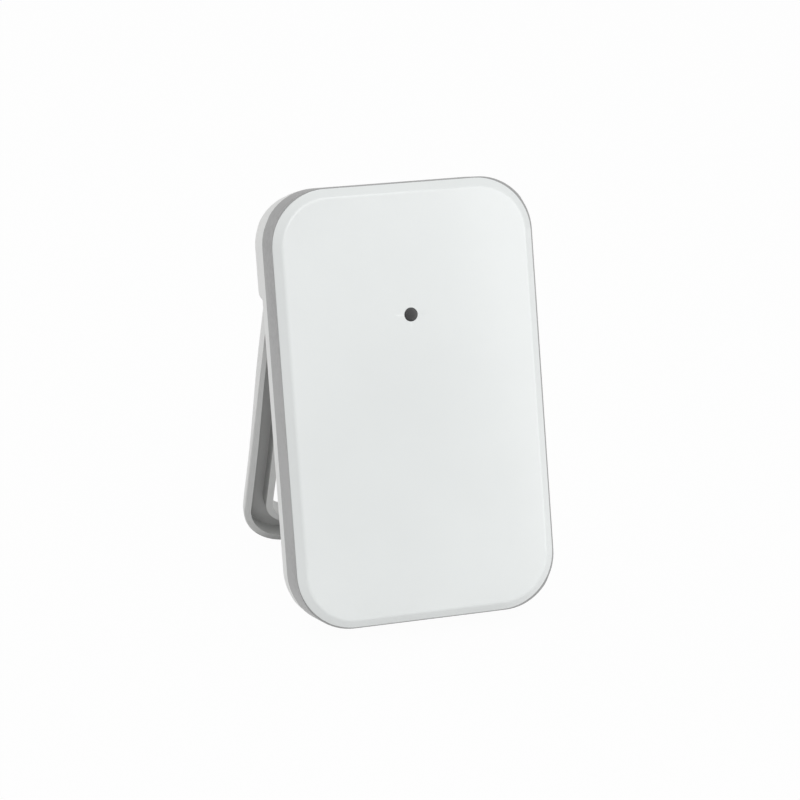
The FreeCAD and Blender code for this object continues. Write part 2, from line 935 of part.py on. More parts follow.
def circuit_board():
    """Board with four screw holes."""
    board = plate(board_half_width, board_bottom, board_top, board_front, board_rear,
                  board_corner, board_corner)
    hole = board_screw_radius + screw_hole_clearance
    holes = [disc(x, z, hole, board_front - PAST, board_rear + PAST) for x, z in board_places()]
    return board.cut(holes)


def on_board(place, size, lift=0.0):
    """Block that lies on the board's rear face, size given as (wide, deep, high)."""
    x, z = place
    wide, deep, high = size
    front = board_rear + lift
    return block(x - wide / 2, x + wide / 2, front, front + deep, z - high / 2, z + high / 2)


def signal_led():
    """Small light on the board's front face, behind the light pipe."""
    wide, deep, high = led_size
    back = board_front
    base = block(-wide / 2, wide / 2, back - led_base, back,
                 light_height - high / 2, light_height + high / 2)
    dome = disc(0, light_height, led_dome, back - deep, back - led_base)
    return joined(base, [dome])


def controller_chip():
    """Flat chip with a row of legs above and below."""
    wide, deep, high = chip_size
    x, z = chip_place
    body = on_board(chip_place, (wide, deep - chip_lift, high), chip_lift)
    legs = []
    for i in range(chip_legs):
        leg_x = x + (i - (chip_legs - 1) / 2) * chip_leg_pitch
        for side in (-1, 1):
            legs.append(on_board((leg_x, z + side * high / 2), chip_leg))
    return joined(body, legs)


def radio_board():
    """Radio transmitter's own small board, on a row of header pins."""
    x, z = radio_place
    wide, deep, high = radio_size
    board = on_board(radio_place, radio_size, radio_lift)
    pins = []
    for i in range(header_count):
        pin_x = x + (i - (header_count - 1) / 2) * header_pitch
        place = (pin_x, z - high / 2 + header_pin)
        pins.append(on_board(place, (header_pin, radio_lift + deep + header_tip, header_pin)))
    return joined(board, pins)


def radio_shield():
    """Metal can over the radio's circuit."""
    x, z = radio_place
    lift = radio_lift + radio_size[1]
    can = on_board((x, z + shield_rise), shield_size, lift)
    return can.makeChamfer(shield_bevel, rim_edges(can, board_rear + lift + shield_size[1]))


def timing_crystal():
    """Small round can that lies on the board, with two leads below it."""
    x, z = crystal_place
    low = z - crystal_length / 2
    can = Part.makeCylinder(crystal_radius, crystal_length, vec(x, board_rear + crystal_radius, low), UP)
    leads = []
    for side in (-1, 1):
        place = (x + side * crystal_lead_spread, low)
        leads.append(on_board(place, (crystal_lead, crystal_radius, crystal_lead_length)))
    return joined(can, leads)


def storage_capacitor():
    """Round capacitor that stands on its base."""
    x, z = capacitor_place
    base = on_board(capacitor_place, (capacitor_foot, capacitor_base, capacitor_foot))
    can_foot = vec(x, board_rear + capacitor_base, z)
    can_height = capacitor_height - capacitor_base
    can = bevelled_post(can_foot, BACK, capacitor_radius, can_height, capacitor_bevel)
    return joined(base, [can])


def antenna_coil():
    """Wound wire antenna that stands clear of the board."""
    x, z = antenna_place
    y = board_rear + antenna_radius + antenna_wire + antenna_stand_off
    winding = coil(x, y, z, antenna_length, antenna_turns, antenna_radius, antenna_radius, antenna_wire)
    leg = disc(x + antenna_radius, z, antenna_wire, board_rear, y)
    return joined(winding, [leg])


def thermistor():
    """Sensing bead on two leads that stand off the board, above the vents."""
    x, z = sensor_place
    tip = board_rear + sensor_reach
    pieces = []
    for side in (-1, 1):
        lead_x = x + side * sensor_spread / 2
        pieces.append(disc(lead_x, z, sensor_lead, board_rear, tip))
        low = z - sensor_drop
        pieces.append(Part.makeCylinder(sensor_lead, sensor_drop, vec(lead_x, tip, low), UP))
    low = z - sensor_drop - sensor_bead
    bead = bevelled_post(vec(x, tip, low + sensor_bead), -UP, sensor_bead, sensor_bead, sensor_bead / 2)
    return joined(bead, pieces)


def channel_switch():
    """Slide switch body, open where its knob runs."""
    body = on_board((-control_offset, control_middle), switch_size)
    wide, deep, high = switch_size
    foot_wide, foot_deep, foot_high = knob_foot
    gap = control_clearance / 2
    rear = board_rear + deep
    room_front = rear - switch_cover - foot_deep - 2 * gap
    room_half = switch_travel + foot_wide / 2 + gap
    room = block(
        -control_offset - room_half,
        -control_offset + room_half,
        room_front,
        rear - switch_cover,
        control_middle - foot_high / 2 - gap,
        control_middle + foot_high / 2 + gap,
    )
    slot_half = switch_travel + knob_size / 2 + gap
    slot = block(
        -control_offset - slot_half,
        -control_offset + slot_half,
        rear - PAST,
        rear + PAST,
        control_middle - knob_size / 2 - gap,
        control_middle + knob_size / 2 + gap,
    )
    return body.cut([room, slot])


def switch_knob():
    """Knob that slides between three places, with its foot inside the switch."""
    foot_wide, foot_deep, foot_high = knob_foot
    gap = control_clearance / 2
    foot_rear = board_rear + switch_size[1] - switch_cover - gap
    foot = block(
        -control_offset - foot_wide / 2,
        -control_offset + foot_wide / 2,
        foot_rear - foot_deep,
        foot_rear,
        control_middle - foot_high / 2,
        control_middle + foot_high / 2,
    )
    half = knob_size / 2
    stem = block(
        -control_offset - half,
        -control_offset + half,
        foot_rear - NEAR,
        control_tip,
        control_middle - half,
        control_middle + half,
    )
    return joined(foot, [stem])


def pair_button():
    """Body of the push button, with a bore for its plunger."""
    body = on_board((control_offset, control_middle), button_size)
    rear = board_rear + button_size[1]
    bore = disc(control_offset, control_middle, button_radius + button_clearance,
                plunger_front() - button_travel - button_room, rear + PAST)
    return body.cut(bore)


def plunger_front():
    """Depth of the plunger's inner end."""
    return board_rear + button_size[1] / 2


def button_plunger():
    """Round plunger of the push button."""
    base = vec(control_offset, plunger_front(), control_middle)
    length = control_tip - base.y
    return bevelled_post(base, BACK, button_radius, length, button_bevel).removeSplitter()


def shell_screws():
    """Four screws that hold the shell to the frame."""
    return [
        screw(x, z, screw_seat, shell_screw_radius, shell_screw_length,
              shell_screw_head, shell_screw_head_depth)
        for x, z in screw_places()
    ]


def board_screws():
    """Four screws that hold the board to its posts."""
    return [
        screw(x, z, board_rear, board_screw_radius, board_screw_length,
              board_screw_head, board_screw_head_depth)
        for x, z in board_places()
    ]


def lean_back():
    """Angle at which the shell's lower edge and the open stand's foot reach the table."""
    body_y = shell_back - shell_edge_radius
    body_z = shell_inset - half_height + shell_edge_radius
    reach = pivot_height + half_height - bulge_inset
    angle = math.radians(stand_angle)
    foot_front = -stand_thickness / 2
    foot_y = pivot_depth + reach * math.sin(angle) + foot_front * math.cos(angle)
    foot_z = pivot_height - reach * math.cos(angle) + foot_front * math.sin(angle)
    across = foot_y - body_y
    up = foot_z - body_z
    span = math.hypot(across, up)
    return math.acos(-shell_edge_radius / span) - math.atan2(across, up)


def shapes_upright():
    """Each sub-part's solids, by name, with the stand opened."""
    stand = stand_folded()
    stand.rotate(vec(0, pivot_depth, pivot_height), ACROSS, stand_angle)
    return {
        "front_panel": [front_panel()],
        "panel_tape": [panel_tape()],
        "light_window": [light_window()],
        "light_pipe": [light_pipe()],
        "front_frame": [front_frame()],
        "rear_shell": [rear_shell()],
        "battery_door": [battery_door()],
        "stand": [stand],
        "battery_left": [left_cell()],
        "battery_right": [right_cell()],
        "positive_contact": [positive_contact()],
        "negative_contact": [negative_contact()],
        "bridge_contact": [bridge_contact()],
        "upper_battery_spring": [upper_spring()],
        "lower_battery_spring": [lower_spring()],
        "circuit_board": [circuit_board()],
        "signal_led": [signal_led()],
        "controller_chip": [controller_chip()],
        "radio_board": [radio_board()],
        "radio_shield": [radio_shield()],
        "antenna_coil": [antenna_coil()],
        "timing_crystal": [timing_crystal()],
        "storage_capacitor": [storage_capacitor()],
        "thermistor": [thermistor()],
        "channel_switch": [channel_switch()],
        "channel_knob": [switch_knob()],
        "pair_button": [pair_button()],
        "button_plunger": [button_plunger()],
        "shell_screws": shell_screws(),
        "board_screws": board_screws(),
    }


def main():
    shapes = shapes_upright()
    lean = lean_back()
    print("lean back: %.2f degrees" % math.degrees(lean))
    for solids in shapes.values():
        for solid in solids:
            solid.rotate(vec(0, 0, 0), ACROSS, -math.degrees(lean))
    reach = Part.makeCompound([solid for solids in shapes.values() for solid in solids])
    box = reach.optimalBoundingBox(False, False)
    shift = vec(-(box.XMin + box.XMax) / 2, -(box.YMin + box.YMax) / 2, -box.ZMin)
    print("shift: %.4f %.4f %.4f" % tuple(shift))
    print("size: %.2f %.2f %.2f" % (box.XLength, box.YLength, box.ZLength))
    for name, solids in shapes.items():
        for solid in solids:
            solid.translate(shift)
            if not solid.isValid() or len(solid.Solids) != 1:
                print("not one sound solid:", name, len(solid.Solids), solid.isValid())
        whole = solids[0] if len(solids) == 1 else Part.makeCompound(solids)
        whole.exportStep("parts/%s.step" % name)


main()
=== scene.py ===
import json
import math

import bmesh
import bpy
import numpy as np
from mathutils import Matrix, Vector


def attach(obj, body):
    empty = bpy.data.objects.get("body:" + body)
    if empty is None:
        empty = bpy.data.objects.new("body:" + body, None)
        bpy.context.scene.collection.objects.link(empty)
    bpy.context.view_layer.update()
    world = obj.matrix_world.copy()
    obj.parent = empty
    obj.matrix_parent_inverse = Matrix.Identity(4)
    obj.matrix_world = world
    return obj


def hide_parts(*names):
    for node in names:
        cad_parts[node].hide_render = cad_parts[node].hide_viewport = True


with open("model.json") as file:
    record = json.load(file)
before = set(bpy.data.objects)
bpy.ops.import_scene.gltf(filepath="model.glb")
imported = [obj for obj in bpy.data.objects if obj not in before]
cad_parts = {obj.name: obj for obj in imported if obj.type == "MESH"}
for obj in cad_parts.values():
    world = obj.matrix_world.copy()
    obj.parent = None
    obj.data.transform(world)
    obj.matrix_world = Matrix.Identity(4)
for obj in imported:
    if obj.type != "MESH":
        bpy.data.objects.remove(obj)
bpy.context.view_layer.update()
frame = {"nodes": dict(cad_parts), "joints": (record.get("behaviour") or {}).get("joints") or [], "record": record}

MM = 0.001


# The body's own frame: upright, in millimetres, X right, Y back from the frame's front rim
# and Z up from the body's middle. On the table the body leans back, and its stand is open.

half_width, half_height, frame_corner = 31.0, 50.0, 12.8
seam_depth = 9.1
side_trim, seam_trim = 0.15, 0.5
pivot_upright = np.array([0.0, 17.2, 20.0])
stand_opening = math.radians(37.5)


def turned_about(axis, angle):
    """Matrix of a turn about X (0), Y (1) or Z (2): it mixes the next two axes by the angle's
    cosine and sine."""
    first, second = (axis + 1) % 3, (axis + 2) % 3
    matrix = np.eye(3)
    matrix[first, first] = math.cos(angle)
    matrix[second, second] = math.cos(angle)
    matrix[first, second] = -math.sin(angle)
    matrix[second, first] = math.sin(angle)
    return matrix


joints = {joint["name"]: joint for joint in frame["joints"]}
lean = math.asin(joints["button_press"]["axis"][2])
pivot_placed = np.array(joints["stand_hinge"]["pos_m"]) / MM
turn = turned_about(0, -lean)
shift = pivot_placed - turn @ pivot_upright


def placed(points):
    """Upright millimetres to metres on the table: turn back by the lean, then shift."""
    return (np.asarray(points, float) @ turn.T + shift) * MM


def upright(points):
    """Metres on the table to upright millimetres: the way back."""
    return (np.asarray(points, float) / MM - shift) @ turn


def trimmed(points):
    """Side walls drawn in by the side trim, and the seam between frame and shell drawn forwards
    by up to the seam trim. The seam moves in the outer wall alone: fully up to 1.8 mm inside
    the rounded outline, then less, and not at all from 2.6 mm on."""
    wall_insets = (1.8, 2.6)
    side_places = (28.5, 29.3)
    seam_depths = (5.0, seam_depth, 12.5)
    body = upright(points)
    past_side = np.abs(body[:, 0]) - (half_width - frame_corner)
    past_end = np.abs(body[:, 2]) - (half_height - frame_corner)
    outwards = np.hypot(np.maximum(past_side, 0.0), np.maximum(past_end, 0.0))
    inset = frame_corner - outwards - np.minimum(np.maximum(past_side, past_end), 0.0)
    wall = np.interp(inset, wall_insets, (1.0, 0.0))
    seam = np.interp(body[:, 1], seam_depths, (0.0, 1.0, 0.0))
    side = np.interp(np.abs(body[:, 0]), side_places, (0.0, 1.0))
    body[:, 0] -= np.sign(body[:, 0]) * side * side_trim
    body[:, 1] -= wall * seam * seam_trim
    return placed(body)


def opened(points):
    """Upright millimetres turned about the stand's hinge by its opening angle: from where the
    stand lies folded to where it stands open."""
    swing = turned_about(0, stand_opening)
    return (points - pivot_upright) @ swing.T + pivot_upright


# Meshes

crease_angle = 30.0
merge_step = 2e-7
ring_steps = 20


def linked(name, data):
    """Object that holds a mesh, lamp or camera, put into the scene."""
    thing = bpy.data.objects.new(name, data)
    bpy.context.scene.collection.objects.link(thing)
    return thing


def mesh_data(name, points, faces):
    """Mesh from an array of points in metres and a list of faces."""
    mesh = bpy.data.meshes.new(name)
    mesh.from_pydata(points.tolist(), [], faces)
    return mesh


def mesh_piece(name, points, faces, crease=crease_angle):
    """Piece from points and faces, smoothly shaded up to the crease angle."""
    mesh = mesh_data(name, points, faces)
    mesh.validate()
    piece = linked(name, mesh)
    shade(piece, crease)
    return piece


def shade(piece, crease=crease_angle):
    """Smooth faces with sharp edges where two faces meet at more than the crease angle."""
    mesh = piece.data
    bm = bmesh.new()
    bm.from_mesh(mesh)
    limit = math.radians(crease)
    for edge in bm.edges:
        edge.smooth = len(edge.link_faces) == 2 and edge.calc_face_angle(0.0) < limit
    for face in bm.faces:
        face.smooth = True
    bm.to_mesh(mesh)
    bm.free()
    weighted = piece.modifiers.new("Weighted normals", "WEIGHTED_NORMAL")
    weighted.keep_sharp = True
    weighted.weight = 100


def face_outwards(mesh):
    """Turns every face of a closed mesh outwards."""
    bm = bmesh.new()
    bm.from_mesh(mesh)
    bmesh.ops.recalc_face_normals(bm, faces=bm.faces)
    bm.to_mesh(mesh)
    bm.free()


def grid_faces(rows, columns, closed_rows=False):
    """Four-sided faces of a grid of points, row by row, as lists of indices. Each row is a
    closed ring, and with closed rows the last row meets the first."""
    r = np.arange(rows if closed_rows else rows - 1)
    r, c = np.meshgrid(r, np.arange(columns), indexing="ij")
    up = (r + 1) % rows
    on = (c + 1) % columns
    corners = (r * columns + c, r * columns + on, up * columns + on, up * columns + c)
    return np.stack(corners, -1).reshape(-1, 4).tolist()


def moulded_copy(node, name, fitted=None):
    """A node's faces with equal corners merged, for smooth shading across its round faces."""
    source = frame["nodes"][node].data
    points = np.zeros(len(source.vertices) * 3)
    source.vertices.foreach_get("co", points)
    points = points.reshape(-1, 3)
    corners = np.zeros(len(source.loops), int)
    source.loops.foreach_get("vertex_index", corners)
    keys = np.round(points / merge_step).astype(np.int64)
    keys, inverse = np.unique(keys, axis=0, return_inverse=True)
    merged = np.zeros((len(keys), 3))
    merged[inverse.ravel()] = points
    a, b, c = inverse.ravel()[corners].reshape(-1, 3).T
    whole = (a != b) & (b != c) & (c != a)
    if fitted:
        merged = fitted(merged)
    piece = mesh_piece(name, merged, np.column_stack([a, b, c])[whole].tolist())
    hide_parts(node)
    return piece


def quarter(middle, wide, high, start, steps):
    """Quarter of an ellipse about a middle from a start angle onwards, as points."""
    angle = start + np.linspace(0.0, math.pi / 2, steps + 1)
    return [(middle[0] + wide * math.cos(a), middle[1] + high * math.sin(a)) for a in angle]


def arc_points(start, corner, end, steps):
    """Points on the circle that touches the lines start-corner and corner-end at its ends."""
    start, corner, end = (np.asarray(point, float) for point in (start, corner, end))
    into = (corner - start) / np.linalg.norm(corner - start)
    out = (end - corner) / np.linalg.norm(end - corner)
    angle = math.acos(np.clip(into @ out, -1, 1))
    radius = np.linalg.norm(corner - start) / math.tan(angle / 2)
    side = out - into * (into @ out)
    side = side / np.linalg.norm(side)
    t = np.linspace(0.0, angle, steps + 1)[:, None]
    return start + into * radius * np.sin(t) + side * radius * (1 - np.cos(t))


def corner_angles():
    """Angles of four quarter circles, one to a row, each with both its ends."""
    angle = np.linspace(0.0, math.pi / 2, ring_steps + 1)
    return angle[None, :] + np.arange(4)[:, None] * math.pi / 2


def rounded_ring(half_wide, half_high, radius):
    """Rounded rectangle as points (x, z): four quarter circles, whose middles lie one radius
    inside the corners, with the straight sides left as single spans."""
    turned = corner_angles()
    corner = np.arange(4)[:, None]
    side_x = np.where((corner == 0) | (corner == 3), 1.0, -1.0)
    side_z = np.where(corner < 2, 1.0, -1.0)
    x = side_x * (half_wide - radius) + radius * np.cos(turned)
    z = side_z * (half_high - radius) + radius * np.sin(turned)
    return np.stack([x.ravel(), z.ravel()], -1)


def round_ring(x, z, radius):
    """Circle with as many points as a rounded ring, corner by corner."""
    turned = corner_angles().ravel()
    return np.stack([x + radius * np.cos(turned), z + radius * np.sin(turned)], -1)


# Shaders

def feed(links, value, socket):
    """Gives an input its value: a socket is linked to it, a number or colour is set on it."""
    if isinstance(value, bpy.types.NodeSocket):
        links.new(value, socket)
    else:
        socket.default_value = value


def mask_group(name, outputs, inputs):
    """Empty shader node group with outputs by name, and inputs by name with the value each
    starts at; returns the group and its two end nodes."""
    group = bpy.data.node_groups.new(name, "ShaderNodeTree")
    for socket, value in inputs.items():
        made = group.interface.new_socket(socket, in_out="INPUT", socket_type="NodeSocketFloat")
        made.default_value = value
    for socket in outputs:
        group.interface.new_socket(socket, in_out="OUTPUT", socket_type="NodeSocketFloat")
    return group, group.nodes.new("NodeGroupInput"), group.nodes.new("NodeGroupOutput")


def noise(nodes, links, vector, scale, detail, roughness=0.5):
    """Noise texture on a vector; scale may be a number or a socket."""
    made = nodes.new("ShaderNodeTexNoise")
    made.inputs["Detail"].default_value = detail
    made.inputs["Roughness"].default_value = roughness
    links.new(vector, made.inputs["Vector"])
    feed(links, scale, made.inputs["Scale"])
    return made.outputs["Fac"]


def maths(nodes, links, operation, *operands, clamp=False):
    """One sum; each operand is a number or a socket."""
    made = nodes.new("ShaderNodeMath")
    made.operation = operation
    made.use_clamp = clamp
    for place, value in enumerate(operands):
        feed(links, value, made.inputs[place])
    return made.outputs[0]


def between(nodes, links, value, given, wanted=(0.0, 1.0)):
    """Value carried from one range to another, held at its ends."""
    made = nodes.new("ShaderNodeMapRange")
    links.new(value, made.inputs["Value"])
    for socket, end in zip(("From Min", "From Max", "To Min", "To Max"), given + wanted):
        made.inputs[socket].default_value = end
    return made.outputs["Result"]


def tinted(nodes, links, factor, first, second):
    """Mix of two colours by a factor; each colour is red, green and blue, or a socket."""
    made = nodes.new("ShaderNodeMix")
    made.data_type = "RGBA"
    links.new(factor, made.inputs[0])
    for slot, value in ((6, first), (7, second)):
        feed(links, value + (1.0,) if isinstance(value, tuple) else value, made.inputs[slot])
    return made.outputs[2]


def moulded_skin():
    """Skin of moulded plastic. Height: fine pits among coarser ones. Tone: slow cloudy change.
    Wear: soft patches broken up by finer noise, used for polish and dust."""
    group, start, end = mask_group("moulded_skin", ("Height", "Tone", "Wear"),
                                   {"Grain Scale": 3000.0, "Cloud Scale": 40.0})
    nodes, links = group.nodes, group.links
    coarser, speck_scale = 0.37, 900.0
    coarse_share, fine_share = 0.6, 0.4
    place = nodes.new("ShaderNodeTexCoord").outputs["Object"]
    fine = noise(nodes, links, place, start.outputs["Grain Scale"], detail=3.0, roughness=0.6)
    coarse_scale = maths(nodes, links, "MULTIPLY", start.outputs["Grain Scale"], coarser)
    coarse = noise(nodes, links, place, coarse_scale, detail=2.0)
    fine_height = maths(nodes, links, "MULTIPLY", fine, fine_share)
    height = maths(nodes, links, "MULTIPLY_ADD", coarse, coarse_share, fine_height)
    cloud = noise(nodes, links, place, start.outputs["Cloud Scale"], detail=3.0)
    speck = noise(nodes, links, place, speck_scale, detail=4.0, roughness=0.7)
    patch = maths(nodes, links, "MULTIPLY", cloud, speck)
    links.new(height, end.inputs["Height"])
    links.new(between(nodes, links, cloud, (0.3, 0.7)), end.inputs["Tone"])
    links.new(between(nodes, links, patch, (0.22, 0.36)), end.inputs["Wear"])
    return group


def rubbed_edges():
    """Mask of edges: how far a rounded normal leaves the true one, broken up by noise."""
    group, start, end = mask_group("rubbed_edges", ("Mask",), {"Radius": 0.0004, "Amount": 1.0})
    nodes, links = group.nodes, group.links
    scuff_scale, least_scuff = 700.0, 0.25
    bevel = nodes.new("ShaderNodeBevel")
    bevel.samples = 4
    links.new(start.outputs["Radius"], bevel.inputs["Radius"])
    dot = nodes.new("ShaderNodeVectorMath")
    dot.operation = "DOT_PRODUCT"
    links.new(bevel.outputs["Normal"], dot.inputs[0])
    links.new(nodes.new("ShaderNodeNewGeometry").outputs["Normal"], dot.inputs[1])
    away = maths(nodes, links, "SUBTRACT", 1.0, dot.outputs["Value"])
    sharp = between(nodes, links, away, (0.01, 0.12))
    place = nodes.new("ShaderNodeTexCoord").outputs["Object"]
    scuff = noise(nodes, links, place, scuff_scale, detail=4.0, roughness=0.6)
    broken = between(nodes, links, scuff, (0.4, 0.6), (least_scuff, 1.0))
    mask = maths(nodes, links, "MULTIPLY", sharp, broken)
    links.new(maths(nodes, links, "MULTIPLY", mask, start.outputs["Amount"]), end.inputs["Mask"])
    return group


def brushed_lines():
    """Fine lines along one way: noise stretched many times along X. Height and Tone."""
    group, start, end = mask_group("brushed_lines", ("Height", "Tone"), {"Scale": 4000.0})
    nodes, links = group.nodes, group.links
    squeeze = nodes.new("ShaderNodeMapping")
    squeeze.inputs["Scale"].default_value = (0.06, 1.0, 1.0)
    links.new(nodes.new("ShaderNodeTexCoord").outputs["Object"], squeeze.inputs["Vector"])
    lines = noise(nodes, links, squeeze.outputs["Vector"], start.outputs["Scale"], detail=2.0)
    links.new(lines, end.inputs["Height"])
    links.new(between(nodes, links, lines, (0.35, 0.65)), end.inputs["Tone"])
    return group


skin_group = moulded_skin()
edge_group = rubbed_edges()
line_group = brushed_lines()


def new_material(name):
    """Material with a node tree; returns it with its nodes, its links and its shader."""
    material = bpy.data.materials.new(name)
    material.use_nodes = True
    nodes = material.node_tree.nodes
    return material, nodes, material.node_tree.links, nodes["Principled BSDF"]


def place_group(nodes, group, **values):
    """A group node with its inputs set by name (spaces written as underscores)."""
    made = nodes.new("ShaderNodeGroup")
    made.node_tree = group
    for name, value in values.items():
        made.inputs[name.replace("_", " ")].default_value = value
    return made


def bump(nodes, links, shader, height, strength, distance):
    """Tilts the shader's normal, by its strength, as a surface does that rises by the distance
    in metres where the height goes from 0 to 1."""
    made = nodes.new("ShaderNodeBump")
    made.inputs["Strength"].default_value = strength
    made.inputs["Distance"].default_value = distance
    links.new(height, made.inputs["Height"])
    links.new(made.outputs["Normal"], shader.inputs["Normal"])


def recess_shade(nodes, links):
    """Mask of painted shade in recesses: how much of the sky within 5 mm is closed in (ambient occlusion)."""
    near = nodes.new("ShaderNodeAmbientOcclusion")
    near.samples = 6
    near.inputs["Distance"].default_value = 5.0 * MM
    return between(nodes, links, near.outputs["AO"], (0.35, 0.85), (1.0, 0.0))


def plastic(name, colour, worn, rough=0.45, spread=0.08, grain=3000.0, depth=0.25, coat=0.0,
            clouds=40.0, rub=0.5, shade_share=1.0):
    """Moulded plastic: base colour shifts a little with the clouds and towards the worn
    colour at rubbed edges; roughness shifts with wear; fine pits tilt the normal. In
    recesses, painted shade from ambient occlusion darkens the base to the given share."""
    edge_radius, pit_depth = 0.4 * MM, 0.02 * MM
    cloud_shade, edge_polish = 0.965, -0.12
    material, nodes, links, shader = new_material(name)
    skin = place_group(nodes, skin_group, Grain_Scale=grain, Cloud_Scale=clouds)
    edges = place_group(nodes, edge_group, Radius=edge_radius, Amount=rub)
    deeper = tuple(part * cloud_shade for part in colour)
    base = tinted(nodes, links, skin.outputs["Tone"], deeper, colour)
    # Painted shade: where ambient occlusion finds a recess, the base colour is darkened to the given share.
    if shade_share < 1.0:
        shaded = tuple(part * shade_share for part in colour)
        base = tinted(nodes, links, recess_shade(nodes, links), base, shaded)
    links.new(tinted(nodes, links, edges.outputs["Mask"], base, worn), shader.inputs["Base Color"])
    uneven = between(nodes, links, skin.outputs["Wear"], (0.0, 1.0), (rough - spread, rough + spread))
    eased = maths(nodes, links, "MULTIPLY_ADD", edges.outputs["Mask"], edge_polish, uneven, clamp=True)
    links.new(eased, shader.inputs["Roughness"])
    shader.inputs["Coat Weight"].default_value = coat
    shader.inputs["Coat Roughness"].default_value = 0.08
    shader.inputs["IOR"].default_value = 1.5
    bump(nodes, links, shader, skin.outputs["Height"], depth, pit_depth)
    return material


def metal(name, colour, dull, rough=0.3):
    """Plated metal: fine lines shift the tone and the roughness, patches are duller."""
    spread, line_strength, line_depth = 0.1, 0.2, 0.01 * MM
    material, nodes, links, shader = new_material(name)
    line = place_group(nodes, line_group, Scale=4000.0)
    skin = place_group(nodes, skin_group, Grain_Scale=2500.0, Cloud_Scale=120.0)
    links.new(tinted(nodes, links, skin.outputs["Wear"], colour, dull), shader.inputs["Base Color"])
    uneven = between(nodes, links, line.outputs["Tone"], (0.0, 1.0), (rough - spread, rough + spread))
    links.new(uneven, shader.inputs["Roughness"])
    shader.inputs["Metallic"].default_value = 1.0
    bump(nodes, links, shader, line.outputs["Height"], line_strength, line_depth)
    return material


# Finishes: one function each, named as the slot or the look that it gives

def panel_white(name):
    """Glossy front cover: smooth and coated, with hardly a rubbed edge."""
    return plastic(name, (0.815, 0.84, 0.835), (0.85, 0.86, 0.86), rough=0.2, spread=0.03,
                   grain=1200.0, depth=0.03, coat=0.5, clouds=25.0, rub=0.2)


def frame_grey(name):
    """Satin grey of the frame, with a fine eroded grain."""
    return plastic(name, (0.33, 0.33, 0.33), (0.39, 0.39, 0.39), rough=0.42, depth=0.3, grain=5200.0)


def shell_white(name):
    """Satin white of the rear shell and its battery door."""
    return plastic(name, (0.78, 0.785, 0.775), (0.82, 0.82, 0.81), rough=0.4, depth=0.3, grain=5200.0)


def shaded_stand_white(name):
    """The shell's white plastic painted darker as shade, with painted shade from ambient occlusion darkening its
    channel.
    """
    # Painted shade: base colour set below the shell's white, and recesses darkened to 0.55 of it.
    return plastic(name, (0.71, 0.715, 0.705), (0.8, 0.8, 0.79), rough=0.38, depth=0.25,
                   grain=5200.0, shade_share=0.55)


def window_dark(name):
    """Smooth smoked lens of the signal light."""
    return plastic(name, (0.023, 0.023, 0.024), (0.05, 0.05, 0.05), rough=0.3, spread=0.04,
                   depth=0.02, coat=0.1)


def tape_grey(name):
    """Dull foam of the adhesive sheet under the panel."""
    return plastic(name, (0.05, 0.05, 0.052), (0.08, 0.08, 0.08), rough=0.8, depth=0.8, grain=1800.0)


def control_black(name):
    """Black plastic of the switch's knob and of the button."""
    return plastic(name, (0.02, 0.02, 0.021), (0.05, 0.05, 0.05), rough=0.45)


def chip_black(name):
    """Dull moulding compound of the chip."""
    return plastic(name, (0.018, 0.018, 0.019), (0.04, 0.04, 0.04), rough=0.55, depth=0.5)


def board_green(name):
    """Lacquered green of the circuit boards."""
    return plastic(name, (0.012, 0.09, 0.035), (0.03, 0.14, 0.06), rough=0.25, grain=1500.0,
                   clouds=150.0, coat=0.3)


def led_clear(name):
    """Pale yellowish body of the signal light."""
    return plastic(name, (0.75, 0.72, 0.5), (0.8, 0.78, 0.6), rough=0.15, coat=0.4)


def cell_jacket(name):
    """Dark shrunk film round the cells, rubbed grey at its edges."""
    return plastic(name, (0.03, 0.045, 0.075), (0.16, 0.17, 0.18), rough=0.28, coat=0.5, clouds=70.0)


def capacitor_sleeve(name):
    """Shrunk dark sleeve of the storage capacitor."""
    return plastic(name, (0.01, 0.014, 0.04), (0.05, 0.06, 0.09), rough=0.25, coat=0.3)


def bead_epoxy(name):
    """Glossy black drop of resin round the sensing bead."""
    return plastic(name, (0.012, 0.01, 0.009), (0.03, 0.03, 0.03), rough=0.2, coat=0.5,
                   grain=2000.0, depth=0.5)


def contact_nickel(name):
    """Warm nickel plating of the contacts and springs."""
    return metal(name, (0.62, 0.59, 0.54), (0.48, 0.46, 0.42))


def shield_steel(name):
    """Tinned sheet of the radio's shield, the crystal's can and the switch's frame."""
    return metal(name, (0.56, 0.56, 0.55), (0.42, 0.42, 0.41), rough=0.38)


def antenna_copper(name):
    """Copper wire of the antenna's winding."""
    return metal(name, (0.62, 0.28, 0.13), (0.45, 0.2, 0.1))


def screw_steel(name):
    """Zinc-plated steel of the screws."""
    return metal(name, (0.5, 0.5, 0.5), (0.36, 0.36, 0.35), rough=0.34)


def clear_plastic(name):
    """Clear moulded rod: glass-like, with faint flow streaks in its roughness."""
    material, nodes, links, shader = new_material(name)
    line = place_group(nodes, line_group, Scale=900.0)
    shader.inputs["Base Color"].default_value = (0.95, 0.97, 0.98, 1.0)
    shader.inputs["Transmission Weight"].default_value = 1.0
    shader.inputs["IOR"].default_value = 1.49
    streaks = between(nodes, links, line.outputs["Tone"], (0.0, 1.0), (0.03, 0.12))
    links.new(streaks, shader.inputs["Roughness"])
    return material


finishes = (
    panel_white, frame_grey, shell_white, shaded_stand_white, window_dark, tape_grey, control_black,
    chip_black, board_green, led_clear, cell_jacket, capacitor_sleeve, bead_epoxy,
    contact_nickel, shield_steel, antenna_copper, screw_steel, clear_plastic,
)
materials = {finish.__name__: finish(finish.__name__) for finish in finishes}


def dress(piece, material):
    """Gives every face of a piece one material."""
    piece.data.materials.clear()
    piece.data.materials.append(materials[material])


# The front panel: one closed skin from the window's hole round the rim and back

